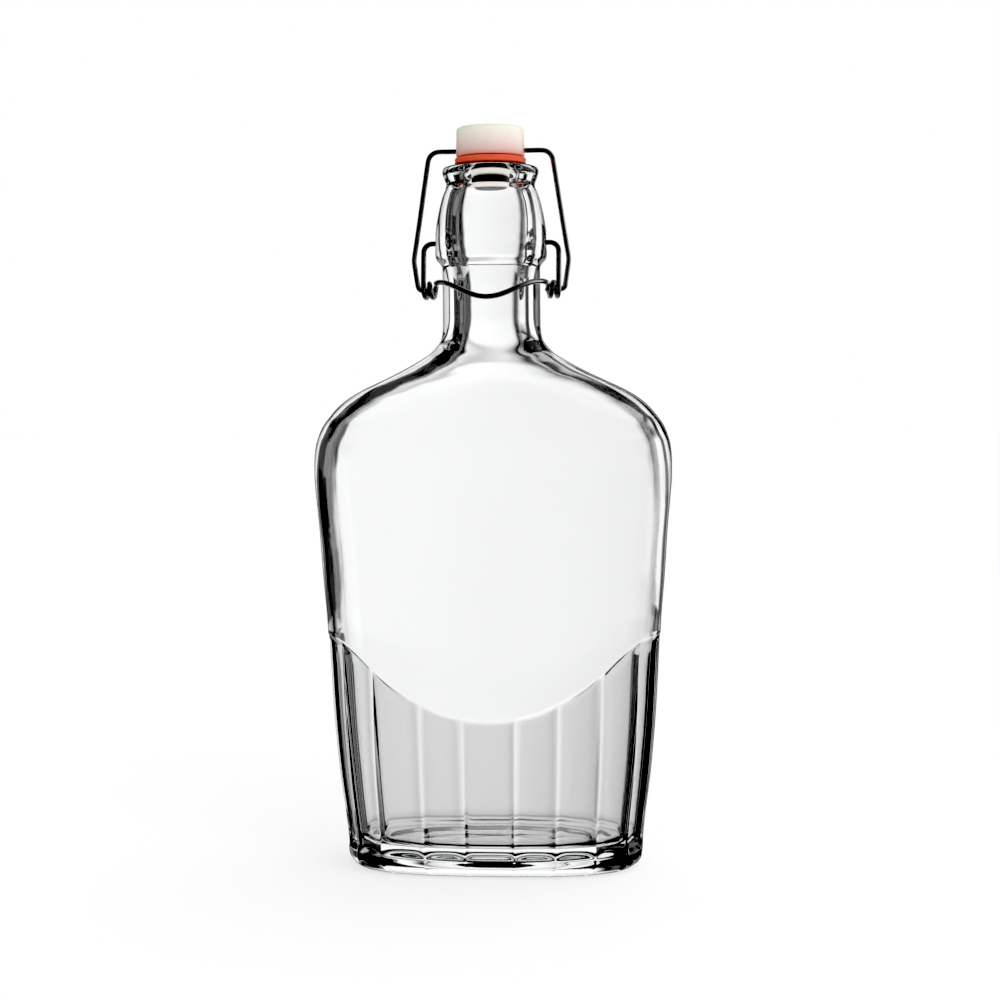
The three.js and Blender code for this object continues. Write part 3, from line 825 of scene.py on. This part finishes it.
# ---------------------------------------------------------------- studio
# A white screen behind the flask, black cards at both sides and a soft ceiling, as
# (degrees, brightness). Angles round the flask: 0 behind it, 90 to the camera's right, 180
# behind the camera. One table for rising rays, one for nearly level rays, one for rays that
# go down, one for rays off matt surfaces.
SIDES_RISING = [
    (-179, .05), (-120, .06), (-100, .02), (-74, .004), (-68, .22), (-58, .22), (-54, .004),
    (-32, .004), (-29, .10), (-26, .10), (-23, .004), (-20.5, .01), (-17.5, 1.08),
    (-10, 1.12), (-4, 1.12), (0, 1.08), (4, 1.06), (8, 1.04), (13, 1.03), (18, .97),
    (21.5, .5), (25, .01), (41, .004), (45, .75), (56, .95), (92, .9), (104, .3),
    (130, .05), (179, .05)]
SIDES_LEVEL = [
    (-179, .05), (-120, .05), (-100, .02), (-86, .004), (-36, .004), (-34, .16), (-31, .16),
    (-29, .004), (-20.5, .004), (-17.5, 1.08), (-10, 1.12), (-4, 1.12), (0, 1.08),
    (4, 1.06), (8, 1.03), (13, 1.0), (18, .97), (21, .70), (25, .04), (39, .06), (44, .90),
    (50, 1.0), (92, 1.0), (104, .3), (130, .05), (179, .05)]
SIDES_FALLING = [
    (-179, .05), (-120, .05), (-80, .004), (-68, .35), (-62, .30), (-58, .004), (-52, .004),
    (-47, .35), (-40, .55), (-30, .75), (-22, 1.0), (-10, 1.06), (-4, 1.09), (0, 1.07),
    (8, .98), (14, .90), (24, .84), (30, .35), (34, .004), (47, .004), (51, .18),
    (56, .004), (80, .01), (120, .05), (179, .05)]
SIDES_MATT = [(-179, .8), (-150, .6), (-90, .35), (-40, .55), (0, 1.0), (40, 1.12),
              (100, 1.05), (179, .9)]
# by elevation: the part both halves share, the rest of each half, and light added overhead
COLUMN_LOW = [
    (-89, .05), (-75, .2), (-66, .9), (-60, .9), (-56, .03), (-50, .03), (-46, .95),
    (-38, .95), (-35, .6), (-31, .6), (-28, .85), (-20, .9), (-14, 1.0), (-2, 1.0),
    (4, 1.03), (8, 1.10)]
COLUMN_LEFT = COLUMN_LOW + [
    (13, 1.10), (16, .60), (19, .85), (24, .95), (28, .02), (50, .004), (89, .01)]
COLUMN_RIGHT = COLUMN_LOW + [
    (14, 1.10), (18, .9), (22, .4), (25, .03), (28, .03), (31, .65), (45, .55), (56, .15),
    (89, .05)]
OVERHEAD = [(60, 0.0), (75, 0.03), (89, 0.05)]


def level_direction(tree, direction):
    """x, y, z outputs of a direction in camera space, with the camera's tilt taken out."""
    in_camera = add_node(tree, "VectorTransform", {0: direction}, vector_type="VECTOR",
                         convert_from="WORLD", convert_to="CAMERA")
    raw = add_node(tree, "SeparateXYZ", {0: in_camera}).outputs
    c, s = math.cos(TILT), math.sin(TILT)

    def product(axis, factor):
        return maths(tree, "MULTIPLY", raw[axis], factor)

    level = add_node(tree, "CombineXYZ", {
        "X": raw["X"],
        "Y": maths(tree, "SUBTRACT", product("Y", c), product("Z", s)),
        "Z": maths(tree, "ADD", product("Y", s), product("Z", c))})
    return add_node(tree, "SeparateXYZ", {0: level}).outputs


def turn_fraction(tree, angle):
    """Angle from -pi to pi as 0 to 1."""
    return maths(tree, "ADD", maths(tree, "DIVIDE", angle, 2 * math.pi), 0.5)


def degree_ramp(tree, fraction, stops):
    return ramp(tree, fraction, [(0.5 + degrees / 360.0, tone) for degrees, tone in stops])


def soft_step(tree, angle, low, high):
    """0 to 1 between two angles in degrees."""
    inputs = {"Value": angle, "From Min": math.radians(low), "From Max": math.radians(high)}
    return add_node(tree, "MapRange", inputs, interpolation_type="SMOOTHSTEP").outputs[0]


def blend(tree, factor, a, b):
    rest = maths(tree, "SUBTRACT", 1.0, factor)
    return maths(tree, "ADD", maths(tree, "MULTIPLY", a, rest),
                 maths(tree, "MULTIPLY", b, factor))


def studio_tone(tree, direction):
    """Brightness of the studio in a direction."""
    level = level_direction(tree, direction)
    around = maths(tree, "ARCTAN2", level["X"], level["Z"])
    u = turn_fraction(tree, around)
    elevation = maths(tree, "ARCSINE", level["Y"])
    w = turn_fraction(tree, elevation)
    sides = blend(tree, soft_step(tree, elevation, -2.0, -0.5),
                  degree_ramp(tree, u, SIDES_LEVEL), degree_ramp(tree, u, SIDES_RISING))
    sides = blend(tree, soft_step(tree, elevation, -9.6, -8.6),
                  degree_ramp(tree, u, SIDES_FALLING), sides)
    column = blend(tree, soft_step(tree, around, -6.0, 6.0),
                   degree_ramp(tree, w, COLUMN_LEFT), degree_ramp(tree, w, COLUMN_RIGHT))
    return maths(tree, "ADD", maths(tree, "MULTIPLY", sides, column),
                 degree_ramp(tree, w, OVERHEAD))


def matt_tone(tree, direction):
    level = level_direction(tree, direction)
    around = maths(tree, "ARCTAN2", level["X"], level["Z"])
    return degree_ramp(tree, turn_fraction(tree, around), SIDES_MATT)


def add_world():
    world = bpy.data.worlds.new("studio")
    scene.world = world
    world.use_nodes = True
    tree = world.node_tree
    tree.nodes.clear()
    direction = add_node(tree, "TexCoord").outputs["Generated"]
    ray = add_node(tree, "LightPath").outputs
    tone = studio_tone(tree, direction)
    matt = maths(tree, "MINIMUM", ray["Diffuse Depth"], 1.0)
    tone = blend(tree, matt, tone, matt_tone(tree, direction))
    # the camera itself sees plain white
    seen = add_node(tree, "Mix", {0: ray["Is Camera Ray"], 2: tone, 3: 1.0}, data_type="FLOAT")
    background = add_node(tree, "Background", {"Color": (1, 1, 1, 1), "Strength": seen})
    add_node(tree, "OutputWorld", {"Surface": background})
    # only met by following rays, so that each kind of ray sees its own tone
    world.cycles.sampling_method = "NONE"


def floor_material():
    """Pale and plain; in the glass it takes the studio's tone of the direction it lies in."""
    material, tree = new_material("floor_pale")
    incoming = add_node(tree, "NewGeometry").outputs["Incoming"]
    away = add_node(tree, "VectorMath", {0: incoming, "Scale": -1.0}, operation="SCALE")
    reflected = add_node(tree, "Emission", {"Strength": studio_tone(tree, away.outputs[0])})
    matt = add_node(tree, "BsdfDiffuse", {"Color": (.45, .45, .45, 1)})
    lift = add_node(tree, "Emission", {"Strength": 0.64})
    pale = add_node(tree, "AddShader", {0: matt, 1: lift})
    ray = add_node(tree, "LightPath").outputs
    seen_plain = maths(tree, "MAXIMUM", ray["Is Camera Ray"],
                       maths(tree, "MINIMUM", ray["Diffuse Depth"], 1.0))
    surface = add_node(tree, "MixShader", {0: seen_plain, 1: reflected, 2: pale})
    add_node(tree, "OutputMaterial", {"Surface": surface})
    material.cycles.emission_sampling = "NONE"
    return material


def add_floor():
    bm = bmesh.new()
    bmesh.ops.create_grid(bm, x_segments=1, y_segments=1, size=6.0)
    mesh = bpy.data.meshes.new("floor")
    bm.to_mesh(mesh)
    bm.free()
    floor = bpy.data.objects.new("floor", mesh)
    scene.collection.objects.link(floor)
    floor.location = (0, 0, -0.0002)
    mesh.materials.append(floor_material())


def add_area_light(name, place, target, size, power):
    data = bpy.data.lights.new(name, "AREA")
    data.energy = power
    data.size = size
    light = bpy.data.objects.new(name, data)
    scene.collection.objects.link(light)
    light.location = place
    aim = Vector(target) - Vector(place)
    light.rotation_euler = aim.to_track_quat("-Z", "Y").to_euler()
    light.visible_camera = False
    light.visible_transmission = False
    light.visible_glossy = False


add_camera()
add_world()
add_floor()
add_area_light("key", place=(0.9, -1.1, 1.1), target=(0, 0, 0.15), size=0.7, power=3.0)

scene.view_settings.view_transform = "Standard"
scene.view_settings.use_curve_mapping = True      # deep blacks, as a studio print of glass has
scene.view_settings.curve_mapping.black_level = (0.028, 0.028, 0.028)
scene.view_settings.curve_mapping.update()
